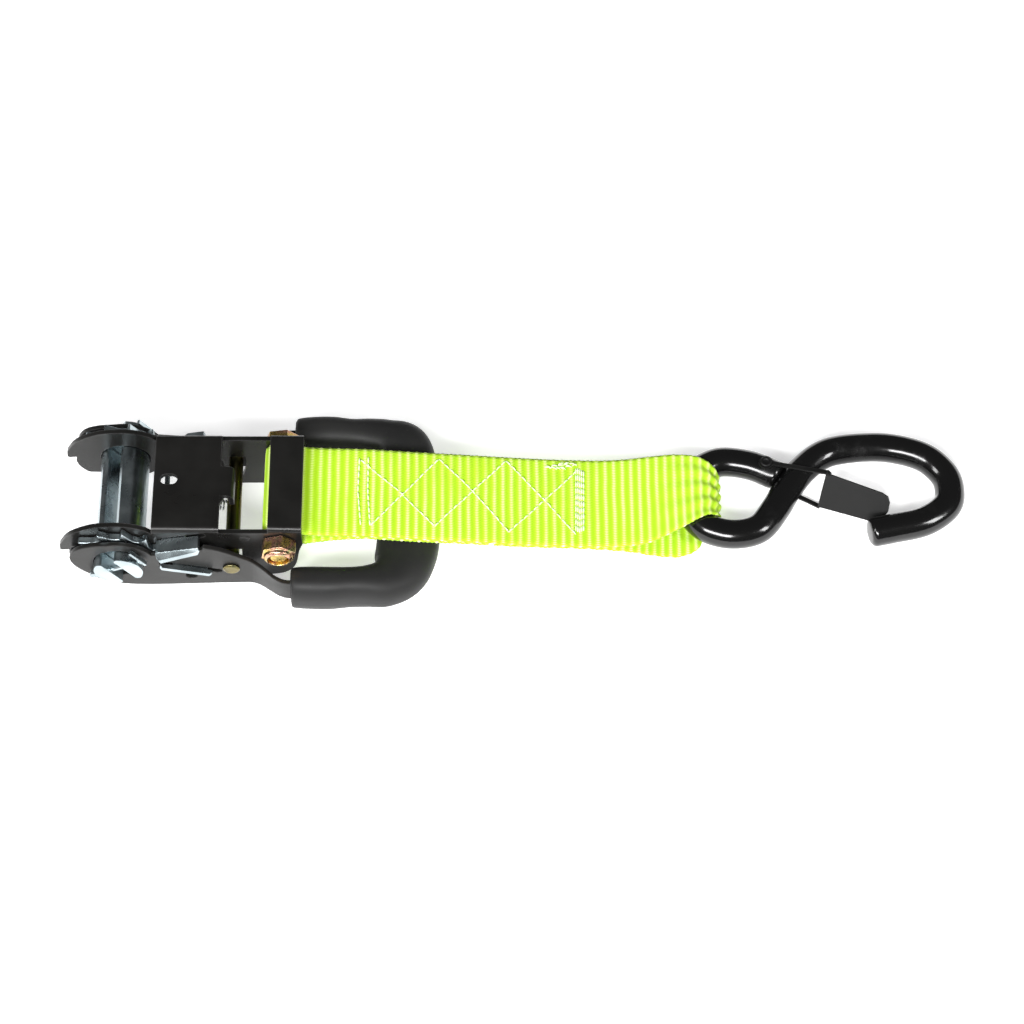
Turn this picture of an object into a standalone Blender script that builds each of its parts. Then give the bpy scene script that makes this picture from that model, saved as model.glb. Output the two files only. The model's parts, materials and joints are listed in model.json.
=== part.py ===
"""Ratchet strap with a short sewn webbing end and a latched hook. Metres, +Z up, +X towards the hook.

The ratchet lies with its handle closed beneath it: the base frame's web is on top, the strap leaves over the
handle's grip and the hook lies flat. The origin is under the middle of the whole strap, on the surface it lies on.
Lengths inside the functions are in millimetres from the mandrel's axis, unless a comment says otherwise.
"""

import math

import bmesh
import bpy
from mathutils import Matrix, Vector

MM = 0.001

# Driving dimensions, in millimetres.
MANDREL_X = -162.71
MANDREL_Z = 21.5
SHEET = 2.0
FRAME_OUTER = 22.5
FRAME_INNER = FRAME_OUTER - SHEET
WEB_TOP = 17.0
WEB_START = 14.2
WINDOW_START = 41.2
BRIDGE_START = 60.9
BRIDGE_END = 74.5
EAR_BOTTOM = -21.5
BOLT_X = 65.0
BOLT_Z = 6.5
BOLT_R = 4.0
HEX_FLATS = 13.0

MANDREL_R = 9.9
MANDREL_END = 32.3
SLOT_HALF = 3.1
SLOT_ANGLE = 118.5
BEARING_R = 10.3

TEETH = 12
WHEEL_TIP = 19.5
WHEEL_ROOT = 15.6
WHEEL_PHASE = 21.2
WHEEL_INNER = 22.9
WHEEL_OUTER = 25.8

ARM_INNER = 26.3
ARM_OUTER = ARM_INNER + SHEET
ARM_JOG = 7.7
JOG_START = 52.0
JOG_END = 68.0
ARM_END = 92.0
ROD_X = 45.2
ROD_Z = -4.2
ROD_R = 3.0

LOCK_TILT = 13.8
LOCK_TIP = (15.9, 8.3)
LOCK_THICK = 2.5
LOCK_TRAVEL = 6.5
DRIVE_TIP = (16.6, -0.3)
DRIVE_TILT = -16.2
DRIVE_THICK = 2.0
DRIVE_SETBACK = 5.3

WEBBING_WIDTH = 40.0
WEBBING_THICK = 1.9

HOOK_WIRE = 12.4
HOOK_PIVOT = (233.2, 8.1, -12.4)
HOOK_DROOP = 1.3
HOOK_TURN = 1.07
STRAP_SKEW = 0.028
KEEPER_PIN = (32.6, 12.9)

GAP = 0.3


# Scene, materials and objects

def clear_scene():
    for obj in list(bpy.data.objects):
        bpy.data.objects.remove(obj)


def material(name, color, roughness, metallic):
    made = bpy.data.materials.new(name)
    made.use_nodes = True
    shader = made.node_tree.nodes["Principled BSDF"]
    shader.inputs["Base Color"].default_value = (*color, 1.0)
    shader.inputs["Roughness"].default_value = roughness
    shader.inputs["Metallic"].default_value = metallic
    made.diffuse_color = (*color, 1.0)
    return made


def empty(name, place, parent=None, droop=0.0, turn=0.0):
    made = bpy.data.objects.new(name, None)
    made.location = Vector(place) * MM
    made.rotation_euler = (0.0, math.radians(droop), math.radians(turn))
    made.parent = parent
    bpy.context.scene.collection.objects.link(made)
    return made


def solid(name, bm, finish, parent, smooth=None):
    """An object from a closed bmesh in millimetres, placed at its parent."""
    bmesh.ops.recalc_face_normals(bm, faces=bm.faces)
    if bm.calc_volume(signed=True) < 0.0:
        bmesh.ops.reverse_faces(bm, faces=bm.faces)
    bmesh.ops.scale(bm, vec=(MM, MM, MM), verts=bm.verts)
    mesh = bpy.data.meshes.new(name)
    bm.to_mesh(mesh)
    bm.free()
    made = bpy.data.objects.new(name, mesh)
    made.parent = parent
    bpy.context.scene.collection.objects.link(made)
    if finish:
        mesh.materials.append(finish)
    if smooth:
        mesh.shade_smooth()
        mesh.set_sharp_from_angle(angle=math.radians(smooth))
    return made


def helper(name, bm, parent):
    """A cutter or an added shape: it is used by a Boolean and isn't part of the object."""
    made = solid(name, bm, None, parent)
    made.hide_render = True
    made.display_type = "WIRE"
    return made


def combine(obj, operation, *helpers):
    for other in helpers:
        modifier = obj.modifiers.new(other.name, "BOOLEAN")
        modifier.operation = operation
        modifier.solver = "EXACT"
        modifier.object = other


# Outlines: lists of (x, z) points

def polar(radius, degrees, centre=(0.0, 0.0)):
    angle = math.radians(degrees)
    return (centre[0] + radius * math.cos(angle), centre[1] + radius * math.sin(angle))


def arc(radius, start, end, steps, centre=(0.0, 0.0)):
    return [polar(radius, start + (end - start) * i / steps, centre) for i in range(steps + 1)]


def circle(radius, steps, centre=(0.0, 0.0)):
    return arc(radius, 0.0, 360.0, steps, centre)[:-1]


def smooth_run(points, steps):
    """A Catmull-Rom curve through the points, with steps points on each stretch."""
    ends = [points[0], *points, points[-1]]
    run = []
    for a, b, c, d in zip(ends, ends[1:], ends[2:], ends[3:]):
        for i in range(steps):
            t = i / steps
            run.append(tuple(
                0.5 * (2 * q + (r - p) * t + (2 * p - 5 * q + 4 * r - s) * t * t
                       + (3 * q - p - 3 * r + s) * t ** 3)
                for p, q, r, s in zip(a, b, c, d)
            ))
    run.append(points[-1])
    return run


def oblong(length, width, steps, centre, tilt=0.0):
    """A slot outline of round ends, its length along the direction of tilt."""
    straight = (length - width) / 2
    right = arc(width / 2, -90, 90, steps, (straight, 0.0))
    left = arc(width / 2, 90, 270, steps, (-straight, 0.0))
    c, s = math.cos(math.radians(tilt)), math.sin(math.radians(tilt))
    return [(centre[0] + c * x - s * z, centre[1] + s * x + c * z) for x, z in right + left]


def half_moon(side, trim):
    """One half of the slotted mandrel: trim is taken off all round."""
    radius = MANDREL_R - trim
    flat = SLOT_HALF + trim
    reach = math.degrees(math.acos(flat / radius))
    middle = SLOT_ANGLE - 90.0 * side
    curve = arc(radius, middle - reach + 11.0, middle + reach - 11.0, 16)
    chord = radius * math.sin(math.radians(reach)) - 1.9
    ends = []
    for along, share in ((1, 0.55), (1, 0.0), (-1, 0.0), (-1, 0.55)):
        out = polar(flat + 0.75 * share, middle)
        step = polar(chord + 1.25 * share, middle + 90.0 * along)
        ends.append((out[0] + step[0], out[1] + step[1]))
    return curve + ends


# Solids

def prism(loops, low, high, bm=None):
    """A closed plate from y = low to y = high. The first loop is its outline, and the others are holes."""
    bm = bm or bmesh.new()
    first, rims = [], []
    for loop in loops:
        near = [bm.verts.new((x, low, z)) for x, z in loop]
        far = [bm.verts.new((x, high, z)) for x, z in loop]
        rims.append((near, far))
        edges = [bm.edges.new((a, b)) for a, b in zip(near, near[1:] + near[:1])]
        first.extend(edges)
    caps = bmesh.ops.triangle_fill(bm, use_beauty=True, edges=first)["geom"]
    opposite = {a: b for near, far in rims for a, b in zip(near, far)}
    for face in [f for f in caps if isinstance(f, bmesh.types.BMFace)]:
        bm.faces.new([opposite[v] for v in reversed(face.verts)])
    for near, far in rims:
        for i in range(len(near)):
            j = (i + 1) % len(near)
            bm.faces.new((near[i], near[j], far[j], far[i]))
    return bm


def box(low, high, bm=None):
    bm = bm or bmesh.new()
    made = bmesh.ops.create_cube(bm, size=1.0)["verts"]
    for v in made:
        v.co = Vector([low[k] + (v.co[k] + 0.5) * (high[k] - low[k]) for k in range(3)])
    return bm


def turned(profile, steps, bm=None, axis="Y"):
    """A solid of revolution from (radius, along) points, closed up at the axis or on themselves."""
    bm = bm or bmesh.new()
    rings = []
    for radius, along in profile:
        if radius == 0.0:
            rings.append([bm.verts.new((0.0, along, 0.0))])
        else:
            rings.append([
                bm.verts.new((x, along, z)) for x, z in circle(radius, steps)
            ])
    closed = profile[0][0] > 0.0
    pairs = list(zip(rings, rings[1:] + rings[:1])) if closed else list(zip(rings, rings[1:]))
    for a, b in pairs:
        for i in range(steps):
            j = (i + 1) % steps
            corners = [a[i % len(a)], a[j % len(a)], b[j % len(b)], b[i % len(b)]]
            bm.faces.new(list(dict.fromkeys(corners)))
    if axis == "Z":
        bmesh.ops.rotate(bm, verts=bm.verts, matrix=Matrix.Rotation(math.radians(90), 3, "X"))
    return bm


def loft(sections, bm=None):
    """Closed rings of the same number of points, joined in a row with flat ends."""
    bm = bm or bmesh.new()
    rings = [[bm.verts.new(p) for p in ring] for ring in sections]
    for a, b in zip(rings, rings[1:]):
        for i in range(len(a)):
            j = (i + 1) % len(a)
            bm.faces.new((a[i], a[j], b[j], b[i]))
    bm.faces.new(rings[0])
    bm.faces.new(rings[-1])
    return bm


def bar(start, end, width, height, bm=None):
    """A straight strip with a rectangular section, its height along Z."""
    a, b = Vector(start), Vector(end)
    along = (b - a).normalized()
    side = along.cross(Vector((0, 0, 1))).normalized() * (width / 2)
    up = Vector((0, 0, height / 2))
    ring = [side + up, side - up, -side - up, -side + up]
    return loft([[a + r for r in ring], [b + r for r in ring]], bm)


def coil(start, end, radius, wire, turns, sides=6, per_turn=12):
    """A compression spring as one closed tube, wound from start to end."""
    a, b = Vector(start), Vector(end)
    along = (b - a).normalized()
    across = along.cross(Vector((0, 1, 0))).normalized()
    third = along.cross(across)
    count = int(turns * per_turn)
    length = (b - a).length - wire
    centres = []
    for i in range(count + 1):
        turn = 2 * math.pi * i / per_turn
        out = across * math.cos(turn) + third * math.sin(turn)
        centres.append((a + along * (wire / 2 + length * i / count) + out * radius, out))
    sections = []
    for i, (centre, out) in enumerate(centres):
        ahead = centres[min(i + 1, count)][0] - centres[max(i - 1, 0)][0]
        over = ahead.normalized().cross(out)
        ring = [polar(wire / 2, 360 * k / sides) for k in range(sides)]
        sections.append([centre + out * u + over * v for u, v in ring])
    return loft(sections)


def tilted(bm, origin, degrees):
    """Turns a solid made along +X and places its start at origin, an (x, z) point."""
    bmesh.ops.rotate(bm, verts=bm.verts, matrix=Matrix.Rotation(math.radians(-degrees), 3, "Y"))
    bmesh.ops.translate(bm, verts=bm.verts, vec=(origin[0], 0.0, origin[1]))
    return bm


def flat_plate(outline, low, high, *holes):
    """A closed plate from z = low to z = high, its outline given as (x, y) points, and its holes too."""
    bm = prism([outline, *holes], low, high)
    for v in bm.verts:
        v.co.y, v.co.z = v.co.z, v.co.y
    return bm


# Base frame

def cheek_outline():
    """One side of the frame: beak and notch at the mandrel end, and the deep ear round the anchor bolt."""
    beak = smooth_run([polar(20.4, 90), polar(21.3, 115), polar(23.0, 145), polar(24.2, 168)], 4)
    notch = [(-24.0, 1.6), (-23.4, 0.6), (-20.4, 0.9), (-20.0, -1.0), (-20.8, -1.9)]
    lobe = smooth_run([(-20.7, -3.4), (-19.8, -7.0), (-17.3, -11.1), (-15.2, -12.0), polar(15.9, 229)], 3)
    ring = arc(15.6, 240, 363, 14)
    top = [(WEB_START, 14.0), (WINDOW_START, 14.0), (WINDOW_START, 14.5), (BRIDGE_START, 14.5),
           (BRIDGE_START, 14.0), (BRIDGE_END, 14.0)]
    ear = smooth_run([(BRIDGE_END, 5.2), (72.9, -0.4), (72.2, -5.0), (71.2, -11.0), (69.2, -16.4),
                      (65.4, -20.2), (60.5, EAR_BOTTOM)], 2)
    rod_clear = 49.6
    inner_end = math.degrees(math.asin(EAR_BOTTOM / rod_clear))
    ear_back = arc(rod_clear, 1.2, inner_end, 8)
    shoulder = arc(20.4, 53, 84, 5)
    return shoulder + beak + notch + lobe + ring + ear_back + ear[::-1] + top[::-1]


def channel_profile():
    """The bent top of the frame as (y, z) points: the web and both bends, down into the cheeks."""
    outer, inner, down = 2.5, 0.6, 13.0
    right = [(FRAME_OUTER, down)] + arc(outer, 0, 90, 5, (FRAME_OUTER - outer, WEB_TOP - outer))
    under = arc(inner, 0, 90, 2, (FRAME_INNER - inner, WEB_TOP - SHEET - inner))
    left = [(-y, z) for y, z in reversed(right)]
    under_left = [(-y, z) for y, z in under]
    return right + left + [(-FRAME_INNER, down)] + under_left + under[::-1] + [(FRAME_INNER, down)]


def channel(start, end):
    bm = prism([channel_profile()], start, end)
    for v in bm.verts:
        v.co = Vector((v.co.y, v.co.x, v.co.z))
    return bm


def lip_profile():
    """The tongue of the web that curls down to seat the lock pawl's spring."""
    centre = (43.4, 13.8)
    outer = arc(3.2, 90, 0, 5, centre)
    inner = arc(1.2, 0, 90, 2, centre)
    return [(39.8, 15.0), (39.8, 17.0)] + outer + [(46.6, 9.6), (44.6, 9.6)] + inner


def pawl_slot(low, high):
    bm = prism([oblong(19.6, 3.4, 4, (10.8, 0.0))], low, high)
    return tilted(bm, LOCK_TIP, LOCK_TILT)


def make_base_frame(finish, parent):
    holes = [circle(BEARING_R, 32), circle(BOLT_R + 0.4, 20, (BOLT_X, BOLT_Z))]
    outline = cheek_outline()
    frame = solid("base_frame", prism([outline, *holes], -FRAME_OUTER, -FRAME_INNER), finish, parent, 30)
    far = helper("add_far_cheek", prism([outline, *holes], FRAME_INNER, FRAME_OUTER), parent)
    web = helper("add_web", channel(WEB_START, WINDOW_START), parent)
    bridge = helper("add_bridge", channel(BRIDGE_START, BRIDGE_END), parent)
    lip = helper("add_lip", prism([lip_profile()], -6.6, 7.2), parent)
    root = [(40.4, -10.2), (41.2, -10.2), (42.4, -8.4), (42.8, -6.8), (42.8, 7.4), (42.4, 9.0),
            (41.2, 10.8), (40.4, 10.8)]
    lip_root = helper("add_lip_root", flat_plate(root, 15.1, 16.9), parent)
    combine(frame, "UNION", web, far, bridge, lip_root, lip)
    slot_near = helper("cut_slot_near", pawl_slot(-FRAME_OUTER - 1, -FRAME_INNER + 1), parent)
    slot_far = helper("cut_slot_far", pawl_slot(FRAME_INNER - 1, FRAME_OUTER + 1), parent)
    hole = flat_plate(oblong(7.0, 4.6, 6, (20.3, 1.2)), 14.0, 18.0)
    web_hole = helper("cut_web_hole", hole, parent)
    combine(frame, "DIFFERENCE", slot_near, slot_far, web_hole)
    dimples = []
    for name, side in (("near", -1), ("far", 1)):
        low, high = sorted((side * (FRAME_OUTER - 0.4), side * (FRAME_OUTER + 0.5)))
        bump = prism([oblong(4.2, 2.6, 5, (51.3, 10.5))], low, high)
        dimples.append(helper("add_dimple_" + name, bump, parent))
    combine(frame, "UNION", *dimples)
    return frame


# Anchor bolt

def hex_outline(flats, turn):
    return [polar(flats / math.sqrt(3), turn + 60 * i, (BOLT_X, BOLT_Z)) for i in range(6)]


def moved(bm, x, z):
    bmesh.ops.translate(bm, verts=bm.verts, vec=(x, 0.0, z))
    return bm


def make_anchor(bolt_finish, sleeve_finish, parent):
    head_face = FRAME_OUTER + GAP
    shank_end = -29.6
    shank = turned([(0.0, shank_end), (BOLT_R - 0.8, shank_end), (BOLT_R, shank_end + 0.8),
                    (BOLT_R, head_face + 1.0), (0.0, head_face + 1.0)], 20)
    bolt = solid("anchor_bolt", moved(shank, BOLT_X, BOLT_Z), bolt_finish, parent, 30)
    head = helper("add_bolt_head", prism([hex_outline(HEX_FLATS, 12)], head_face, head_face + 3.4), parent)
    combine(bolt, "UNION", head)
    bore = circle(BOLT_R + GAP, 20, (BOLT_X, BOLT_Z))
    nut_body = prism([hex_outline(HEX_FLATS, 20), bore], -head_face - 5.6, -head_face)
    nut = solid("anchor_nut", nut_body, bolt_finish, parent, 30)
    ring = turned([(BOLT_R + GAP, -head_face - 7.8), (4.9, -head_face - 7.8), (5.8, -head_face - 7.0),
                   (6.0, -head_face - 5.0), (BOLT_R + GAP, -head_face - 5.0)], 20)
    combine(nut, "UNION", helper("add_nut_ring", moved(ring, BOLT_X, BOLT_Z), parent))
    inner, outer, end = BOLT_R + GAP, BOLT_R + 0.9, FRAME_INNER - GAP
    tube = turned([(inner, -end), (outer, -end), (outer, end), (inner, end)], 20)
    solid("anchor_sleeve", moved(tube, BOLT_X, BOLT_Z), sleeve_finish, parent, 30)


# Mandrel

def wheel_outline():
    """Saw teeth: each steep face looks towards the pawl, and the long slope lets the pawl ride up."""
    points = []
    pitch = 360.0 / TEETH
    for i in range(TEETH):
        base = WHEEL_PHASE + pitch * i
        points += [polar(WHEEL_TIP, base - 1.6), polar(WHEEL_TIP, base), polar(WHEEL_ROOT, base + 2.4),
                   polar(WHEEL_ROOT, base + 13.5), polar((WHEEL_TIP + WHEEL_ROOT) / 2 - 0.3, base + 21.5)]
    return points


def make_cotter(name, side, finish, parent):
    """A split pin through both halves of the mandrel, its legs spread on the far side of the slot."""
    across = SLOT_ANGLE - 90.0
    y = side * 30.2
    pin = circle(1.1, 10)
    shank = prism([pin], -12.0, 11.6)
    turn = Matrix.Rotation(math.radians(-90.0), 3, "Z")
    bmesh.ops.rotate(shank, verts=shank.verts, matrix=turn)
    legs = box((10.9, -0.9, -2.6), (12.0, 0.9, 8.6))
    eye = prism([circle(1.7, 12, (-12.1, 0.0))], -1.05, 1.05)
    for bm in (shank, legs, eye):
        bmesh.ops.rotate(bm, verts=bm.verts, matrix=Matrix.Rotation(math.radians(-across), 3, "Y"))
        bmesh.ops.translate(bm, verts=bm.verts, vec=(0.0, y, 0.0))
    cotter = solid(name, shank, finish, parent, 30)
    combine(cotter, "UNION", helper("add_legs_" + name, legs, parent),
            helper("add_eye_" + name, eye, parent))


def make_mandrel(finish, parent):
    for name, side in (("mandrel_bar_upper", 1), ("mandrel_bar_lower", -1)):
        bm = prism([half_moon(side, 0.0)], -MANDREL_END, MANDREL_END)
        moon = solid(name, bm, finish, parent, 30)
        cutters = []
        for end in (-1, 1):
            bore = prism([circle(1.1 + GAP, 12)], -12.0, 12.0)
            turn = Matrix.Rotation(math.radians(-90.0), 3, "Z")
            bmesh.ops.rotate(bore, verts=bore.verts, matrix=turn)
            lean = Matrix.Rotation(math.radians(-(SLOT_ANGLE - 90.0)), 3, "Y")
            bmesh.ops.rotate(bore, verts=bore.verts, matrix=lean)
            bmesh.ops.translate(bore, verts=bore.verts, vec=(0.0, end * 30.2, 0.0))
            cutters.append(helper("cut_%s_%d" % (name, end), bore, parent))
        combine(moon, "DIFFERENCE", *cutters)
    holes = [half_moon(1, -GAP), half_moon(-1, -GAP)]
    for name, low, high in (("ratchet_wheel_near", -WHEEL_OUTER, -WHEEL_INNER),
                            ("ratchet_wheel_far", WHEEL_INNER, WHEEL_OUTER)):
        solid(name, prism([wheel_outline(), *holes], low, high), finish, parent, 30)
    make_cotter("cotter_pin_near", -1, finish, parent)
    make_cotter("cotter_pin_far", 1, finish, parent)


# Pawls

def pawl_plan(points):
    """The outline of a pawl from its (along, across) points on one side."""
    return points + [(t, -y) for t, y in reversed(points)]


def make_lock_pawl(finish, spring_finish, parent):
    tab_end, tab_length, neck_end = 31.1, 18.0, 12.6
    side = FRAME_OUTER + 0.5
    stub = 25.4
    plan = [(neck_end, side), (tab_length, side), (tab_length, stub), (11.0, stub), (9.0, 24.0),
            (0.0, side + 0.5), (0.0, side), (2.3, FRAME_OUTER + GAP)]
    plan += [(2.3, -FRAME_OUTER - GAP), (0.0, -side), (0.0, 0.8 - tab_end), (0.8, -tab_end),
             (tab_length - 1.0, 1.3 - tab_end), (tab_length, 2.2 - tab_end), (tab_length, -side), (neck_end, -side)]
    middle = [(3.6, -10.0), (9.4, -10.0), (9.4, 10.0), (3.6, 10.0)]
    bm = flat_plate(plan, -LOCK_THICK / 2, LOCK_THICK / 2, middle)
    fold = ARM_OUTER + 0.4
    bmesh.ops.bisect_plane(bm, geom=bm.verts[:] + bm.edges[:] + bm.faces[:], plane_co=(0, -fold, 0),
                           plane_no=(0, 1, 0))
    for v in bm.verts:
        v.co.z -= max(-v.co.y - fold, 0.0)
    solid("lock_pawl", tilted(bm, LOCK_TIP, LOCK_TILT), finish, parent, 30)
    spring = coil((28.9, 0.0, 11.4), (44.1, 0.0, 12.4), 1.5, 0.6, 8)
    solid("lock_pawl_spring", spring, spring_finish, parent, 60)


def make_drive_pawl(finish, spring_finish, parent):
    tip, tilt = DRIVE_TIP, DRIVE_TILT
    ear_in, ear_out, ear_length, back = ARM_OUTER + 0.4, 30.8, 21.5, 19.5
    plan = pawl_plan([(back, ear_in), (ear_length, ear_in), (ear_length, ear_out - 0.8),
                      (ear_length - 0.8, ear_out), (0.8, ear_out), (0.0, ear_out - 0.8), (0.0, ear_in),
                      (DRIVE_SETBACK, ear_in), (DRIVE_SETBACK, FRAME_INNER), (DRIVE_SETBACK + 2.6, 18.0)])
    bm = flat_plate(plan, -DRIVE_THICK / 2, DRIVE_THICK / 2)
    pawl = solid("drive_pawl", tilted(bm, tip, tilt), finish, parent, 30)
    rod_above = 4.3
    lip = tilted(box((back - 2.0, -8.0, -7.0), (back, 8.0, rod_above + 2.6)), tip, tilt)
    combine(pawl, "UNION", helper("add_pawl_lip", lip, parent))
    spring = tilted(coil((back + GAP, 0.0, rod_above), (25.4, 0.0, rod_above), 2.0, 0.7, 4), tip, tilt)
    solid("drive_pawl_spring", spring, spring_finish, parent, 60)


# Handle

def arm_outline(side):
    """One arm of the handle: the cam round the mandrel, the seat under the lock pawl and the straight tail.

    The near arm's seat carries the lock pawl's long tab. The far one is lower, under the pawl's short tab.
    """
    hub = arc(15.0, 24, 105, 9)
    nose = smooth_run([polar(15.0, 105), polar(17.2, 127), polar(19.5, 147), polar(20.0, 168),
                       polar(18.2, 190), polar(16.4, 216), polar(17.2, 240), polar(18.6, 270),
                       (9.0, -19.4), (20.0, -19.2)], 3)[1:]
    tail = [(40.0, -18.1), (JOG_END, -17.2), (ARM_END, -17.2), (ARM_END, -4.0),
            (JOG_END, -4.0)]
    if side < 0:
        top = smooth_run([(62.0, -3.2), (54.5, 0.2), (49.0, 4.4), (44.0, 8.4), (39.2, 11.2), (35.1, 12.7)], 3)
        top.append((34.5, 11.0))
    else:
        top = smooth_run([(62.0, -3.2), (54.5, -1.2), (46.0, 1.4), (38.0, 3.0), (28.0, 4.4)], 3)
    return hub + nose + tail + top


def jog(x):
    t = min(max((x - JOG_START) / (JOG_END - JOG_START), 0.0), 1.0)
    return ARM_JOG * t * t * (3 - 2 * t)


def make_arm(name, side, finish, parent):
    tip, tilt = DRIVE_TIP, DRIVE_TILT
    slot_length, slot_width = 26.3, DRIVE_THICK + 0.8
    c, s = math.cos(math.radians(tilt)), math.sin(math.radians(tilt))
    middle = slot_length / 2 - 0.4
    slot = oblong(slot_length, slot_width, 3, (tip[0] + c * middle, tip[1] + s * middle), tilt)
    holes = [circle(BEARING_R, 32), slot, circle(2.5, 14, (28.5, -11.2)),
             circle(ROD_R + GAP, 16, (ROD_X, ROD_Z))]
    bm = prism([arm_outline(side), *holes], ARM_INNER, ARM_OUTER)
    for i in range(9):
        x = JOG_START + (JOG_END - JOG_START) * i / 8
        geometry = bm.verts[:] + bm.edges[:] + bm.faces[:]
        bmesh.ops.bisect_plane(bm, geom=geometry, plane_co=(x, 0, 0), plane_no=(1, 0, 0))
    for v in bm.verts:
        v.co.y = side * (v.co.y + jog(v.co.x))
    solid(name, bm, finish, parent, 30)


def make_rod(finish, parent):
    head, end = ROD_R + 0.5, ARM_OUTER + 1.3
    profile = [(0.0, -end), (head - 0.7, -end), (head, -end + 0.5), (head, -ARM_OUTER - GAP),
               (ROD_R, -ARM_OUTER - GAP), (ROD_R, ARM_OUTER + GAP), (head, ARM_OUTER + GAP),
               (head, end - 0.5), (head - 0.7, end), (0.0, end)]
    solid("cross_rod", moved(turned(profile, 20), ROD_X, ROD_Z), finish, parent, 30)


def grip_path():
    """The grip's centre line with its half width and half height: (x, y, half width, half height)."""
    near_end = [(69.5, -34.9, 6.3, 9.2), (71.0, -34.9, 7.1, 10.0), (77.0, -35.1, 7.5, 10.3),
                (85.0, -35.2, 7.5, 10.3), (93.0, -34.7, 7.1, 10.1)]
    near_bend = [(100.0, -34.2, 7.5, 9.9), (107.5, -32.6, 9.3, 9.4), (113.2, -27.4, 11.6, 8.9),
                 (116.0, -19.0, 12.7, 8.5), (117.0, -9.5, 13.0, 8.4)]
    far_bend = [(117.0, 9.5, 13.0, 8.4), (116.0, 20.0, 12.8, 8.5), (113.0, 29.8, 12.8, 8.9),
                (107.0, 33.6, 9.0, 9.4), (100.0, 34.4, 7.9, 9.9)]
    far_end = [(x, -y, wide, high) for x, y, wide, high in reversed(near_end)]
    return near_end + near_bend + [(117.0, 0.0, 13.0, 8.4)] + far_bend + far_end


def make_grip(finish, parent):
    path = smooth_run(grip_path(), 2)
    sections = []
    for i, (x, y, wide, high) in enumerate(path):
        before, after = path[max(i - 1, 0)], path[min(i + 1, len(path) - 1)]
        along = Vector((after[0] - before[0], after[1] - before[1], 0.0)).normalized()
        out = Vector((along.y, -along.x, 0.0))
        centre = Vector((x, y, -19.4 + high))
        ring = []
        for k in range(20):
            angle = 2 * math.pi * (k + 0.5) / 20
            c, s = math.cos(angle), math.sin(angle)
            u = math.copysign(abs(c) ** 0.8, c) * wide
            v = math.copysign(abs(s) ** 0.8, s) * high
            ring.append(centre + out * u + Vector((0, 0, v)))
        sections.append(ring)
    grip = solid("handle_grip", loft(sections), finish, parent, 40)
    for name, side in (("near", -1), ("far", 1)):
        low, high = sorted((side * (ARM_INNER + ARM_JOG - GAP), side * (ARM_OUTER + ARM_JOG + GAP)))
        pocket = box((66.0, low, -17.2 - GAP), (ARM_END + GAP, high, -4.0 + GAP))
        combine(grip, "DIFFERENCE", helper("cut_pocket_" + name, pocket, parent))


# Webbing

def webbing_loops():
    """The strap seen from the side: its outer outline, and the eyes round the bolt and round the hook."""
    sleeve = BOLT_R + 0.9 + GAP
    outside = sleeve + WEBBING_THICK
    bolt = (BOLT_X, BOLT_Z)
    bolt_outer = arc(outside, 75, 268, 12, bolt)
    bolt_inner = arc(sleeve, 75, 268, 12, bolt)
    t = WEBBING_THICK
    top = smooth_run([(69.5, 12.4), (75.0, 10.0), (86.0, 8.4), (100.0, 6.9), (119.0, 3.6), (140.0, 0.2),
                      (165.0, -4.0), (190.0, -7.2), (205.0, -7.4), (218.0, -5.2), (228.0, -3.9),
                      (237.5, -4.1), (244.0, -7.2), (246.6, -12.8)], 2)
    bottom = smooth_run([(246.6, -12.8), (245.2, -18.0), (239.5, -20.9), (228.0, -21.0), (218.0, -18.6),
                         (207.0, -14.6), (190.0, -7.2 - 2 * t), (165.0, -4.0 - 2 * t), (140.0, 0.2 - 2 * t),
                         (119.0, 3.6 - 2 * t), (100.0, 6.9 - 2 * t), (86.0, 2.5), (75.0, 0.4)], 2)[1:]
    outer = bolt_outer + bottom[::-1] + top[:-1][::-1]
    eye_top = smooth_run([(96.5, 5.35), (86.0, 6.5), (75.0, 8.1), (69.2, 10.4)], 2)
    eye_bottom = smooth_run([(68.0, 1.6), (75.0, 2.3), (86.0, 4.4)], 2)
    bolt_eye = bolt_inner + eye_bottom + eye_top
    hook_top = smooth_run([(203.0, -9.7), (218.0, -6.8), (228.0, -5.2), (236.8, -5.4), (242.9, -8.0),
                           (245.3, -12.8)], 2)
    hook_bottom = smooth_run([(245.3, -12.8), (243.9, -17.3), (238.9, -19.7), (228.0, -19.8), (219.0, -17.4),
                              (209.0, -13.6)], 2)[1:]
    return outer, bolt_eye, hook_top + hook_bottom


def between(table, x):
    """Reads a table of (x, y) points in rising order of x."""
    for (a, p), (b, q) in zip(table, table[1:]):
        if x <= b:
            return p + (q - p) * min(max((x - a) / (b - a), 0.0), 1.0)
    return table[-1][1]


def webbing_edge(x, z, side):
    """Where the strap's near or far edge is: it is gathered to pass through the hook's eye, mostly from its
    near side, and more above the wire than under it.
    """
    if side > 0:
        pull = between([(226.0, 0.0), (230.0, 1.0), (235.0, 6.4), (240.0, 9.8), (246.6, 10.6)], x)
    elif z > HOOK_PIVOT[2]:
        pull = between([(212.0, 0.0), (222.0, 2.4), (226.0, 5.4), (230.0, 10.0),
                        (234.0, 14.8), (238.0, 16.8)], x)
    else:
        pull = between([(228.0, 0.0), (233.0, 1.8), (237.0, 5.4), (239.0, 16.8)], x)
    return side * (WEBBING_WIDTH / 2 - pull) + STRAP_SKEW * max(x - 72.0, 0.0)


def make_webbing(finish, parent):
    outer, bolt_eye, hook_eye = webbing_loops()
    bm = prism([outer, bolt_eye, hook_eye], -1.0, 1.0)
    for v in bm.verts:
        v.co.y = webbing_edge(v.co.x, v.co.z, v.co.y)
    solid("webbing", bm, finish, parent, 40)


# Hook

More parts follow.
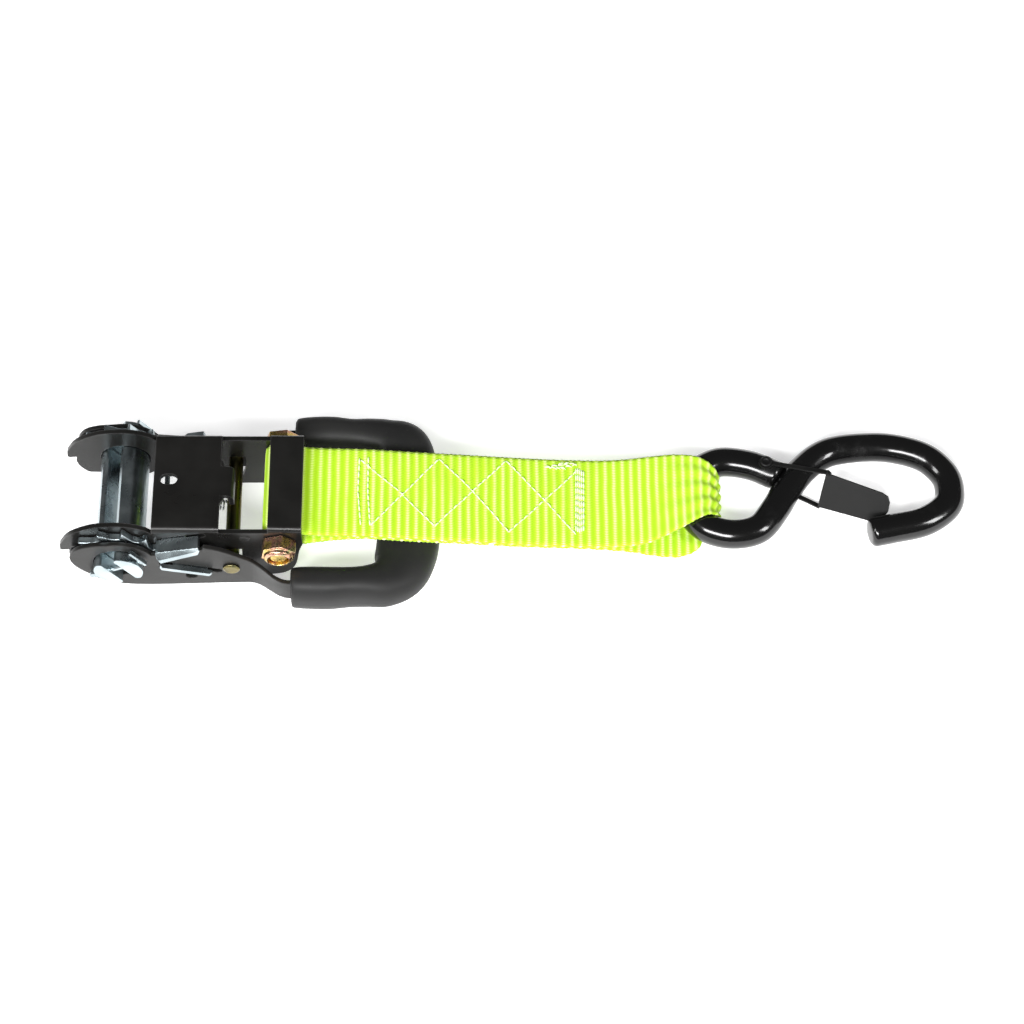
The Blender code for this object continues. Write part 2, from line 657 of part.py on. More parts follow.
def hook_route():
    """The hook's centre line in plan, from the pivot in the strap's eye: closed eye, shank and bowl."""
    return [(38.9, 9.4), (35.6, 11.5), (26.2, 15.6), (14.2, 17.0), (5.3, 12.6), (1.0, 6.2), (0.0, 0.0),
            (1.2, -7.1), (7.3, -14.2), (17.7, -17.1), (28.6, -14.6), (36.2, -5.4), (41.4, 3.1), (49.1, 13.3),
            (59.6, 21.1), (73.9, 23.6), (87.4, 23.2), (100.6, 18.9), (108.3, 11.0), (110.2, 3.0),
            (108.0, -4.8), (98.2, -11.7), (84.8, -14.9), (74.8, -16.9)]


def make_hook(finish, parent):
    route = smooth_run(hook_route(), 3)
    sections = []
    sides = 16
    for i, (x, y) in enumerate(route):
        before, after = route[max(i - 1, 0)], route[min(i + 1, len(route) - 1)]
        along = Vector((after[0] - before[0], after[1] - before[1], 0.0)).normalized()
        out = Vector((along.y, -along.x, 0.0))
        ring = [polar(HOOK_WIRE / 2, 360 * (k + 0.5) / sides) for k in range(sides)]
        sections.append([Vector((x, y, 0.0)) + out * u + Vector((0, 0, v)) for u, v in ring])
    hook = solid("hook_body", loft(sections), finish, parent, 40)
    bore = turned([(0.0, -9.0), (1.9, -9.0), (1.9, 9.0), (0.0, 9.0)], 12, axis="Z")
    bmesh.ops.translate(bore, verts=bore.verts, vec=(*KEEPER_PIN, 0.0))
    combine(hook, "DIFFERENCE", helper("cut_pin_bore", bore, parent))


def make_keeper(finish, pin_finish, parent):
    """The sprung latch: a leaning flag with one leg over the shank and one under it, hinged at the pin."""
    top, low = 6.9, -6.9
    corner = Vector((25.3, -4.4, 5.6))
    along, down = Vector((24.5, -10.4, 0.0)), Vector((-2.7, -9.4, -11.9))
    rim = [(0.0, 0.0), (0.93, 0.0), (1.03, 0.05), (1.08, 0.2), (1.09, 0.45), (1.03, 0.7), (0.97, 0.82),
           (0.86, 0.88), (0.0, 1.0)]
    flag = [corner + along * a + down * b for a, b in rim]
    normal = along.cross(down).normalized() * 0.6
    bm = loft([[p - normal for p in flag], [p + normal for p in flag]])
    keeper = solid("keeper", bm, finish, parent, 30)
    washer = [(1.8, -0.45), (3.0, -0.45), (3.0, 0.45), (1.8, 0.45)]
    adds = []
    for name, z in (("top", top + 0.1), ("low", low - 0.05)):
        ring = turned([(r, a + z) for r, a in washer], 14, axis="Z")
        adds.append(helper("add_ring_" + name, ring, parent))
    legs = (((2.4, -0.4, top + 0.1), (26.4, -4.9, top - 0.3), 0.9),
            ((25.5, -4.6, top - 0.2), (27.3, -5.3, 4.6), 2.0),
            ((2.0, -1.4, low - 0.05), (23.6, -13.8, low + 0.2), 0.9))
    for i, (a, b, height) in enumerate(legs):
        adds.append(helper("add_leg_%d" % i, bar(a, b, 1.8, height), parent))
    combine(keeper, "UNION", *adds)
    pin = turned([(0.0, -7.2), (1.5, -7.2), (1.5, 7.75), (2.4, 7.75), (2.4, 8.0), (2.0, 8.3), (1.3, 8.3),
                  (0.9, 7.9), (0.0, 7.9)], 14, axis="Z")
    solid("keeper_pin", pin, pin_finish, parent, 30)


def build():
    clear_scene()
    black = material("black_coat", (0.018, 0.018, 0.02), 0.38, 0.35)
    handle_black = material("handle_coat", (0.02, 0.02, 0.021), 0.42, 0.3)
    zinc = material("zinc", (0.62, 0.66, 0.68), 0.28, 1.0)
    gold = material("yellow_zinc", (0.62, 0.5, 0.22), 0.3, 1.0)
    steel = material("spring_steel", (0.45, 0.45, 0.46), 0.35, 1.0)
    rubber = material("grip_rubber", (0.02, 0.02, 0.019), 0.62, 0.0)
    fabric = material("webbing", (0.55, 0.95, 0.03), 0.8, 0.0)
    vinyl = material("hook_vinyl", (0.012, 0.012, 0.013), 0.22, 0.0)
    latch = material("latch_coat", (0.015, 0.015, 0.016), 0.5, 0.0)

    base = empty("base", (MANDREL_X, 0.0, MANDREL_Z))
    make_base_frame(black, base)
    make_anchor(gold, steel, base)
    make_lock_pawl(zinc, steel, base)
    make_webbing(fabric, base)
    make_mandrel(zinc, empty("mandrel", (0, 0, 0), base))

    handle = empty("handle", (0, 0, 0), base)
    make_arm("handle_arm_near", -1, handle_black, handle)
    make_arm("handle_arm_far", 1, handle_black, handle)
    make_rod(gold, handle)
    make_grip(rubber, handle)
    make_drive_pawl(zinc, steel, handle)

    hook = empty("hook", HOOK_PIVOT, base, HOOK_DROOP, HOOK_TURN)
    make_hook(vinyl, hook)
    make_keeper(latch, latch, empty("latch", (*KEEPER_PIN, 0.0), hook))


build()
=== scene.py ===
"""The ratchet strap's looks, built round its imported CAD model."""

import json
import math

import bmesh
import bpy
from mathutils import Matrix, Vector, noise


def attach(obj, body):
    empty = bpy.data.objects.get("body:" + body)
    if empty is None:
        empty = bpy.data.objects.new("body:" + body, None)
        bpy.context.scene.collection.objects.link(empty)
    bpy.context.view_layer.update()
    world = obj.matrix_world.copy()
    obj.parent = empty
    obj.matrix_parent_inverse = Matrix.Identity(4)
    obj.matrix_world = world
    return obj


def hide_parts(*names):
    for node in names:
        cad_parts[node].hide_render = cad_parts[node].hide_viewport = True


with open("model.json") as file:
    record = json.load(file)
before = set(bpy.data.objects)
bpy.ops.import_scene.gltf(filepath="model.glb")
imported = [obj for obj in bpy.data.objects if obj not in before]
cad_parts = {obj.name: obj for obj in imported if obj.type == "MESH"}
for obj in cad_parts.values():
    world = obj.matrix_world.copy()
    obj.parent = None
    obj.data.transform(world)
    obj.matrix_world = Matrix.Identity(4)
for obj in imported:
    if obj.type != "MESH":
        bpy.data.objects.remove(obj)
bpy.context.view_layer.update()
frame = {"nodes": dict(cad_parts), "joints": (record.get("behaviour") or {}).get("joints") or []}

MM = 0.001
NODES = frame["nodes"]
JOINT_AT = {joint["name"]: joint.get("pos_m") for joint in frame["joints"]}

# The mandrel's axis. Lengths below are in millimetres, and places are measured from it.
AXIS = Vector(JOINT_AT["handle_hinge"])

# The anchor bolt's centre from the side, and the radius of the strap's middle surface round it.
BOLT = (65.0, 6.5)
BOLT_EYE_R = 6.15

# The strap: its width and thickness, the depth of its middle under its top line, the pitch of its weft bars
# and of its warp threads, and how far a bar swells its face and its edge.
BAND_WIDTH = 40.0
BAND_THICK = 1.5
BAND_DEPTH = 0.95
RIB = 3.6
WARP = 0.78
RIB_SWELL = 0.13
EDGE_SCALLOP = 0.28
BAND_COLUMNS = 33

# The seam: the pitch and thickness of a stitch, and how far its ends stand off the strap's top line.
STITCH_PITCH = 3.0
STITCH_THICK = 0.66
THREAD_RISE = 0.05

# The hook: its wire, the rounding of its ends, its pivot in the strap's eye and how it lies.
WIRE_R = 6.2
TIP_ROUND = 2.4
HOOK_PIVOT = Vector(JOINT_AT["hook_pivot"])
HOOK_TURN = math.radians(1.07)
HOOK_DROOP = math.radians(1.3)

# The grip's underside, and its mould seam above that underside.
GRIP_FLOOR = -19.4
GRIP_SEAM = 5.0


# Node materials

class Look:
    """A Principled material with short calls for the nodes that feed it."""

    def __init__(self, name, color, rough, metallic=0.0, **sockets):
        self.mat = bpy.data.materials.new(name)
        self.mat.use_nodes = True
        self.tree = self.mat.node_tree
        self.bsdf = self.tree.nodes["Principled BSDF"]
        self.put("Base Color", (*color, 1.0))
        self.put("Roughness", rough)
        self.put("Metallic", metallic)
        for key, value in sockets.items():
            self.put(key.replace("_", " "), value)
        self.coords = self.node("ShaderNodeTexCoord").outputs["Object"]
        self.mat.diffuse_color = (*color, 1.0)

    def put(self, name, value):
        self.bsdf.inputs[name].default_value = value

    def node(self, kind, **settings):
        made = self.tree.nodes.new(kind)
        for key, value in settings.items():
            setattr(made, key, value)
        return made

    def link(self, source, target):
        self.tree.links.new(source, target)

    def noise(self, scale, detail=3.0, rough=0.55, stretch=None):
        made = self.node("ShaderNodeTexNoise")
        made.inputs["Scale"].default_value = scale
        made.inputs["Detail"].default_value = detail
        made.inputs["Roughness"].default_value = rough
        source = self.coords
        if stretch:
            mapping = self.node("ShaderNodeMapping")
            mapping.inputs["Scale"].default_value = stretch
            self.link(source, mapping.inputs["Vector"])
            source = mapping.outputs["Vector"]
        self.link(source, made.inputs["Vector"])
        return made.outputs["Fac"]

    def ramp(self, source, *stops):
        made = self.node("ShaderNodeValToRGB")
        ramp = made.color_ramp
        while len(ramp.elements) < len(stops):
            ramp.elements.new(0.5)
        for element, (place, color) in zip(ramp.elements, stops):
            element.position = place
            element.color = (*color, 1.0) if isinstance(color, tuple) else (color, color, color, 1.0)
        self.link(source, made.inputs["Fac"])
        return made.outputs["Color"]

    def math(self, operation, a, b=None):
        made = self.node("ShaderNodeMath", operation=operation)
        for slot, value in ((0, a), (1, b)):
            if value is None:
                continue
            if isinstance(value, (int, float)):
                made.inputs[slot].default_value = value
            else:
                self.link(value, made.inputs[slot])
        return made.outputs["Value"]

    def mix(self, factor, a, b):
        made = self.node("ShaderNodeMix", data_type="RGBA")
        for slot, value in ((0, factor), (6, a), (7, b)):
            if isinstance(value, (int, float)):
                made.inputs[slot].default_value = value
            elif isinstance(value, tuple):
                made.inputs[slot].default_value = (*value, 1.0)
            else:
                self.link(value, made.inputs[slot])
        return made.outputs[2]

    def edges(self, radius):
        """1 along sharp edges and corners, 0 on flats: how far a rounded normal leans from the true one."""
        rounded = self.node("ShaderNodeBevel", samples=4)
        rounded.inputs["Radius"].default_value = radius
        true = self.node("ShaderNodeNewGeometry")
        dot = self.node("ShaderNodeVectorMath", operation="DOT_PRODUCT")
        self.link(rounded.outputs["Normal"], dot.inputs[0])
        self.link(true.outputs["Normal"], dot.inputs[1])
        lean = self.math("SUBTRACT", 1.0, dot.outputs["Value"])
        spread = self.node("ShaderNodeMapRange")
        spread.inputs["From Min"].default_value = 0.02
        spread.inputs["From Max"].default_value = 0.2
        self.link(lean, spread.inputs["Value"])
        return spread.outputs["Result"]

    def bump(self, height, distance, strength=1.0, below=None):
        made = self.node("ShaderNodeBump")
        made.inputs["Strength"].default_value = strength
        made.inputs["Distance"].default_value = distance
        self.link(height, made.inputs["Height"])
        if below:
            self.link(below, made.inputs["Normal"])
        return made.outputs["Normal"]

    def finish(self, color=None, rough=None, normal=None):
        for name, source in (("Base Color", color), ("Roughness", rough), ("Normal", normal)):
            if source is not None:
                self.link(source, self.bsdf.inputs[name])
        return self.mat


def coat_look(name, color, edge, rough, grain):
    """Black electro-coat on pressed steel: faint orange peel, handling marks, and paler edges that are a
    painted edge highlight.
    """
    look = Look(name, color, rough, 0.0, Specular_IOR_Level=0.22)
    cloud = look.noise(55.0, 4.0)
    fine = look.noise(grain, 2.0)
    scratch = look.noise(420.0, 3.0, stretch=(0.08, 1.0, 1.0))
    marks = look.ramp(scratch, (0.64, 0.0), (0.76, 1.0))
    # Painted edge highlight: the sharp edges pale towards the edge colour, in patches set by the cloud.
    painted_edge_highlight = look.math("MULTIPLY", look.edges(0.0007), look.ramp(cloud, (0.35, 0.25), (0.65, 1.0)))
    base = look.mix(look.ramp(cloud, (0.3, 0.0), (0.7, 1.0)), color, tuple(c * 1.7 for c in color))
    base = look.mix(look.math("MULTIPLY", marks, 0.2), base, tuple(c * 2.4 for c in color))
    base = look.mix(look.math("MULTIPLY", painted_edge_highlight, 0.55), base, edge)
    gloss = look.ramp(cloud, (0.25, rough - 0.07), (0.75, rough + 0.1))
    normal = look.bump(fine, 0.00004, 0.6)
    return look.finish(base, gloss, look.bump(cloud, 0.0003, 0.35, normal))


def zinc_look():
    """Bright zinc plate: cloudy crystals, rolling lines and darker spots."""
    look = Look("zinc_plate", (0.72, 0.76, 0.8), 0.25, 1.0)
    cloud = look.noise(70.0, 5.0)
    rolled = look.noise(420.0, 2.0, stretch=(1.0, 0.06, 1.0))
    spots = look.noise(900.0, 2.0)
    base = look.ramp(cloud, (0.25, (0.24, 0.29, 0.31)), (0.5, (0.38, 0.44, 0.46)),
                     (0.75, (0.58, 0.64, 0.66)))
    base = look.mix(look.ramp(spots, (0.64, 0.0), (0.72, 0.35)), base, (0.3, 0.31, 0.33))
    gloss = look.ramp(cloud, (0.3, 0.2), (0.7, 0.38))
    normal = look.bump(rolled, 0.00004, 0.7)
    return look.finish(base, gloss, look.bump(cloud, 0.00025, 0.4, normal))


def gold_look():
    """Yellow passivated zinc: gold that drifts to pink and green."""
    look = Look("yellow_zinc_plate", (0.72, 0.55, 0.2), 0.24, 1.0)
    drift = look.noise(150.0, 3.0)
    spots = look.noise(1100.0, 2.0)
    base = look.ramp(drift, (0.25, (0.26, 0.2, 0.05)), (0.42, (0.6, 0.43, 0.13)),
                     (0.55, (0.62, 0.32, 0.24)), (0.68, (0.34, 0.4, 0.16)), (0.82, (0.66, 0.52, 0.3)))
    # Painted edge highlight: the sharp edges pale towards a light gold.
    base = look.mix(look.math("MULTIPLY", look.edges(0.0006), 0.5), base, (0.9, 0.85, 0.7))
    gloss = look.ramp(spots, (0.3, 0.18), (0.7, 0.4))
    return look.finish(base, gloss, look.bump(spots, 0.00003, 0.6))


def rod_look():
    """The cross rod's darker passivation, an oily olive brown."""
    look = Look("dark_passivated", (0.14, 0.11, 0.04), 0.28, 1.0)
    drift = look.noise(120.0, 3.0, stretch=(1.0, 0.3, 1.0))
    base = look.ramp(drift, (0.3, (0.07, 0.06, 0.03)), (0.5, (0.17, 0.14, 0.05)),
                     (0.7, (0.1, 0.11, 0.06)))
    # Painted edge highlight: the sharp edges of the dark rod pale towards a light grey.
    base = look.mix(look.math("MULTIPLY", look.edges(0.0006), 0.8), base, (0.6, 0.6, 0.52))
    return look.finish(base, look.ramp(drift, (0.3, 0.22), (0.7, 0.38)), look.bump(drift, 0.00004, 0.5))


def spring_look():
    """Drawn wire, with fine darker streaks."""
    look = Look("spring_wire", (0.5, 0.5, 0.51), 0.3, 1.0)
    streaks = look.noise(900.0, 3.0)
    base = look.ramp(streaks, (0.3, (0.32, 0.32, 0.34)), (0.7, (0.66, 0.66, 0.67)))
    return look.finish(base, look.ramp(streaks, (0.3, 0.22), (0.7, 0.42)), look.bump(streaks, 0.00003, 0.5))


def grip_look():
    """Moulded rubber-like plastic: fine matt grain with rubbed, shinier patches."""
    look = Look("grip_moulded", (0.013, 0.013, 0.0125), 0.58, 0.0, Specular_IOR_Level=0.25)
    grain = look.noise(2600.0, 2.0)
    cloud = look.noise(38.0, 4.0)
    base = look.ramp(cloud, (0.3, (0.0105, 0.0105, 0.0105)), (0.7, (0.0155, 0.0155, 0.015)))
    dust = look.ramp(look.noise(700.0, 3.0), (0.66, 0.0), (0.76, 0.4))
    base = look.mix(dust, base, (0.03, 0.03, 0.029))
    gloss = look.ramp(cloud, (0.3, 0.48), (0.72, 0.66))
    normal = look.bump(grain, 0.00005, 0.55)
    return look.finish(base, gloss, look.bump(cloud, 0.0004, 0.3, normal))


def vinyl_look():
    """Dipped vinyl: deep black gloss with soft runs and a few dull rubs."""
    look = Look("dipped_vinyl", (0.004, 0.004, 0.004), 0.2, 0.0, Specular_IOR_Level=0.4,
                Coat_Weight=0.25, Coat_Roughness=0.08)
    runs = look.noise(120.0, 2.0)
    pores = look.noise(1500.0, 2.0)
    rubs = look.ramp(look.noise(60.0, 5.0, 0.7), (0.56, 0.0), (0.72, 1.0))
    base = look.mix(look.math("MULTIPLY", rubs, 0.6), (0.0035, 0.0035, 0.0035), (0.012, 0.012, 0.012))
    gloss = look.ramp(rubs, (0.0, 0.17), (1.0, 0.36))
    normal = look.bump(pores, 0.00002, 0.35)
    return look.finish(base, gloss, look.bump(runs, 0.0006, 0.22, normal))


def webbing_look():
    """Polyester webbing: rounded weft bars crossed by fine warp threads, with painted shade in the valleys
    between the bars and between the threads, and painted pale highlights on the crests in loose columns.

    It is read from the band's own map: X counts warp threads across, and Y counts weft bars along.
    """
    look = Look("webbing_weave", (0.6, 0.93, 0.05), 0.62, 0.0, Specular_IOR_Level=0.2,
                Sheen_Weight=0.08, Sheen_Roughness=0.5)
    band_map = look.node("ShaderNodeUVMap", uv_map="band").outputs["UV"]
    parts = look.node("ShaderNodeSeparateXYZ")
    look.link(band_map, parts.inputs["Vector"])
    across, along = parts.outputs["X"], parts.outputs["Y"]
    drift = look.noise(60.0, 2.0)
    wander = look.math("MULTIPLY", look.math("SUBTRACT", drift, 0.5), 0.22)
    turns = look.math("MULTIPLY", look.math("ADD", along, wander), math.tau)
    crest = look.math("ADD", look.math("MULTIPLY", look.math("COSINE", turns), 0.5), 0.5)
    stagger = look.math("MULTIPLY", look.math("ROUND", along), 0.5)
    warp = look.math("COSINE", look.math("MULTIPLY", look.math("ADD", across, stagger), math.tau))
    thread = look.math("ADD", look.math("MULTIPLY", warp, 0.5), 0.5)
    column = look.ramp(look.noise(46.0, 3.0, 0.65, stretch=(1.0, 0.45, 1.0)), (0.36, 0.3), (0.56, 1.0))
    # Painted highlight: pale glints on the crests of the bars and threads, in loose columns.
    painted_glint = look.math("MULTIPLY", look.math("POWER", crest, 3.5), look.math("POWER", thread, 1.2))
    # Painted shade: the valleys between the weft bars are darker than their crests.
    base = look.mix(crest, (0.4, 0.7, 0.012), (0.56, 0.86, 0.03))
    # Painted shade: darker between the warp threads.
    painted_thread_shade = look.math("MULTIPLY", look.math("SUBTRACT", 1.0, thread), 0.45)
    base = look.mix(painted_thread_shade, base, (0.33, 0.58, 0.01))
    base = look.mix(look.math("MULTIPLY", painted_glint, column), base, (0.98, 0.98, 0.56))
    gloss = look.ramp(thread, (0.0, 0.75), (1.0, 0.5))
    height = look.math("ADD", look.math("MULTIPLY", thread, 0.5), look.math("MULTIPLY", crest, 0.8))
    return look.finish(base, gloss, look.bump(height, 0.00022, 0.8))


def thread_look():
    """Pale twisted sewing thread."""
    look = Look("white_thread", (0.78, 0.93, 0.55), 0.55, 0.0, Sheen_Weight=0.3)
    twist = look.noise(1400.0, 2.0)
    base = look.ramp(twist, (0.3, (0.6, 0.82, 0.34)), (0.65, (0.86, 0.98, 0.66)))
    return look.finish(base, None, look.bump(twist, 0.00008, 0.7))


def floor_look():
    look = Look("pale_floor", (0.93, 0.93, 0.93), 0.75)
    look.put("Emission Color", (1.0, 1.0, 1.0, 1.0))
    look.put("Emission Strength", 0.52)
    cloud = look.noise(3.0, 2.0)
    return look.finish(look.ramp(cloud, (0.3, 0.93), (0.7, 0.95)))


# Mesh helpers

def smooth_run(points, steps):
    """A Catmull-Rom curve through the points, with steps points on each stretch."""
    ends = [points[0], *points, points[-1]]
    run = []
    for a, b, c, d in zip(ends, ends[1:], ends[2:], ends[3:]):
        for i in range(steps):
            t = i / steps
            run.append(tuple(
                0.5 * (2 * q + (r - p) * t + (2 * p - 5 * q + 4 * r - s) * t * t
                       + (3 * q - p - 3 * r + s) * t ** 3)
                for p, q, r, s in zip(a, b, c, d)
            ))
    run.append(tuple(points[-1]))
    return run


def even(points, step):
    """The same run with its points a step apart."""
    total = [0.0]
    for a, b in zip(points, points[1:]):
        total.append(total[-1] + math.dist(a, b))
    count = max(2, round(total[-1] / step))
    out, k = [], 0
    for i in range(count + 1):
        want = total[-1] * i / count
        while k < len(points) - 2 and total[k + 1] < want:
            k += 1
        span = total[k + 1] - total[k] or 1.0
        t = (want - total[k]) / span
        out.append(tuple(p + (q - p) * t for p, q in zip(points[k], points[k + 1])))
    return out


def place(x, y, z):
    """A point in millimetres from the mandrel's axis, in the row frame."""
    return AXIS + Vector((x, y, z)) * MM


def flat_frame(route, i):
    """Which way a flat (x, y) route runs at point i, as the direction out to its side."""
    before, after = route[max(i - 1, 0)], route[min(i + 1, len(route) - 1)]
    along = Vector((after[0] - before[0], after[1] - before[1], 0.0)).normalized()
    return Vector((along.y, -along.x, 0.0))


def mesh_object(name, bm, material, body, smooth=180.0):
    """An object of its own that moves with a body, with edges sharper than smooth degrees left sharp."""
    bmesh.ops.recalc_face_normals(bm, faces=bm.faces)
    mesh = bpy.data.meshes.new(name)
    bm.to_mesh(mesh)
    bm.free()
    mesh.shade_smooth()
    if smooth < 180.0:
        mesh.set_sharp_from_angle(angle=math.radians(smooth))
    mesh.materials.append(material)
    made = bpy.data.objects.new(name, mesh)
    bpy.context.scene.collection.objects.link(made)
    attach(made, body)
    return made


def ring_loft(rings, bm=None):
    """A closed skin over rings that have the same number of points."""
    bm = bm or bmesh.new()
    rows = [[bm.verts.new(p) for p in ring] for ring in rings]
    for a, b in zip(rows, rows[1:]):
        for i in range(len(a)):
            j = (i + 1) % len(a)
            bm.faces.new((a[i], a[j], b[j], b[i]))
    for row in (rows[0], rows[-1]):
        bm.faces.new(row)
    return bm


# Webbing

def top_line():
    """The strap's top surface from the side, as (x, z) points from the ratchet to the hook."""
    return [(69.5, 12.4), (75.0, 10.0), (86.0, 8.4), (100.0, 6.9), (119.0, 3.6), (140.0, 0.2),
            (165.0, -4.0), (190.0, -7.2), (205.0, -7.4), (218.0, -5.2), (228.0, -3.9),
            (237.5, -4.1), (244.0, -7.2), (246.6, -12.8)]


TOP_RUN = smooth_run(top_line(), 12)


def top_height(x):
    """The height of the strap's top surface at x."""
    for a, b in zip(TOP_RUN, TOP_RUN[1:]):
        if a[0] <= x <= b[0]:
            return a[1] + (b[1] - a[1]) * (x - a[0]) / (b[0] - a[0])
    return TOP_RUN[-1][1]


def band_route():
    """The webbing's middle surface from the side: under the anchor bolt, over it, to the hook and back."""
    eye = [math.radians(a) for a in range(265, 70, -15)]
    bolt = [(BOLT[0] + BOLT_EYE_R * math.cos(a), BOLT[1] + BOLT_EYE_R * math.sin(a)) for a in eye]
    top = [(x, z - BAND_DEPTH) for x, z in top_line()[:-2]]
    lower = [(150.0, -4.4), (140.0, -2.65), (119.0, 0.75), (100.0, 4.05), (86.0, 3.4), (75.0, 1.3)]
    loop = [(243.2, -7.8), (245.65, -12.8), (244.3, -17.45), (239.2, -19.95), (228.0, -20.1),
            (218.0, -17.7), (207.5, -13.6), (190.0, -10.05), (165.0, -6.85), (152.0, -4.75)]
    return smooth_run(lower + bolt + top[1:] + loop, 8)


def between(table, x):
    """Reads a table of (x, y) points in rising order of x."""
    for (a, p), (b, q) in zip(table, table[1:]):
        if x <= b:
            t = min(max((x - a) / (b - a), 0.0), 1.0)
            return p + (q - p) * t
    return table[-1][1]


# How far the hook's eye draws each edge of the strap in, as (x, distance): the far edge, and the near edge of
# the upper and of the lower layer.
FAR_PULL = [(226.0, 0.0), (232.0, 0.5), (236.0, 1.1), (239.6, 2.4), (243.0, 4.4), (245.3, 6.8), (246.6, 8.2)]
NEAR_PULL = [(212.0, 0.0), (217.0, 0.7), (222.0, 2.6), (228.6, 5.6), (233.0, 8.0), (237.0, 10.4),
             (241.0, 12.6), (246.0, 13.6)]
UNDER_PULL = [(228.0, 0.0), (234.0, 1.5), (238.0, 4.6), (240.5, 11.0), (242.5, 15.6)]


def band_across(x, w, lean):
    """Where the thread at w, from -1 to 1 across the band, lies: y, and its distance off the middle surface.

    The hook's eye gathers the strap from both edges, so it ruffles, most of all round the wire. The upper
    layer has a lean near 1, and the lower one near -1.
    """
    upper = min(max(0.5 + 0.7 * lean, 0.0), 1.0)
    near = between(NEAR_PULL, x) * upper + between(UNDER_PULL, x) * (1 - upper)
    far = between(FAR_PULL, x)
    low, high = near - BAND_WIDTH / 2, BAND_WIDTH / 2 - far
    ease = min((near + far) / 22.0, 1.0)
    y = low + (high - low) * (w + 1) / 2 + 0.028 * max(x - 72.0, 0.0)
    fold = 0.7 * ease * math.sin(w * 12.5 + 0.9 + 0.05 * (x - 230.0))
    cup = 0.3 * (1 - ease) * noise.noise(Vector((x * 0.02, w * 0.8, 5.5 - 2.5 * lean)))
    return y, fold + cup


def make_webbing(material):
    """The strap as one closed band with ribbed faces, and the length of its middle surface."""
    route = even(band_route(), 0.45)
    columns = BAND_COLUMNS
    bm = bmesh.new()
    uv = bm.loops.layers.uv.new("band")
    length = 0.0
    rows = []
    for i, (x, z) in enumerate(route):
        before, after = route[max(i - 1, 0)], route[min(i + 1, len(route) - 1)]
        along = Vector((after[0] - before[0], 0.0, after[1] - before[1])).normalized()
        out = Vector((-along.z, 0.0, along.x))
        if i:
            length += math.dist(route[i - 1], route[i])
        phase = length / RIB
        bar = math.cos(math.tau * phase)
        row = []
        for side in (1, -1):
            line = []
            for c in range(columns):
                w = -1 + 2 * c / (columns - 1)
                y, off = band_across(x, w, out.z)
                y += math.copysign(abs(w) ** 24 * EDGE_SCALLOP * bar, w)
                plump = 1.0 - 0.45 * abs(w) ** 10
                lift = off + side * (BAND_THICK / 2 * plump + RIB_SWELL * bar)
                line.append(bm.verts.new(AXIS + (Vector((x, y, z)) + out * lift) * MM))
            row.append(line)
        rows.append((row, phase))
    width = BAND_WIDTH / WARP
    for (a, pa), (b, pb) in zip(rows, rows[1:]):
        for side in (0, 1):
            for c in range(columns - 1):
                quad = (a[side][c], a[side][c + 1], b[side][c + 1], b[side][c])
                face = bm.faces.new(quad)
                spots = ((c, pa), (c + 1, pa), (c + 1, pb), (c, pb))
                for loop, (k, p) in zip(face.loops, spots):
                    loop[uv].uv = (k / (columns - 1) * width, p)
        for c in (0, columns - 1):
            face = bm.faces.new((a[0][c], a[1][c], b[1][c], b[0][c]))
            for loop, p in zip(face.loops, (pa, pa, pb, pb)):
                loop[uv].uv = (c / (columns - 1) * width, p)
    for row, _ in (rows[0], rows[-1]):
        for c in range(columns - 1):
            bm.faces.new((row[0][c], row[0][c + 1], row[1][c + 1], row[1][c]))
    made = mesh_object("webbing_band", bm, material, "base")
    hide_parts("webbing")
    return made, length


def stitch(bm, a, b, thick, lift):
    """One stitch of thread: it rises out of the cloth at a and goes back in at b."""
    steps, sides = 6, 6
    along = (b - a).normalized()
    side = along.cross(Vector((0, 0, 1))).normalized()
    up = side.cross(along)
    rings = []
    for i in range(steps + 1):
        t = i / steps
        rise = math.sin(math.pi * t)
        centre = a.lerp(b, t) + up * (lift * (rise ** 0.6) - 0.35 * (1 - rise))
        radius = thick / 2 * (0.6 + 0.4 * rise)
        rings.append([
            AXIS + (centre + side * math.cos(q) * radius + up * math.sin(q) * radius) * MM
            for q in (math.tau * k / sides for k in range(sides))
        ])
    ring_loft(rings, bm)


# Each run of stitches through its points on the strap, (along, across) in millimetres.
STITCH_RUNS = [
    [(96.9, 16.4), (96.5, 0.8), (97.9, -14.8)],
    [(100.5, 17.0), (100.5, 1.0), (101.7, -14.6)],
    [(97.3, 15.4), (113.5, 1.9), (127.8, -12.7)],
    [(102.0, -14.5), (129.5, 18.9)],
    [(129.5, 18.9), (143.3, 5.2), (158.3, -12.7)],
    [(127.8, -12.7), (157.3, 20.6)],
    [(157.3, 20.6), (172.7, 3.7), (186.0, -12.0)],
    [(158.3, -12.7), (187.3, 18.5)],
]


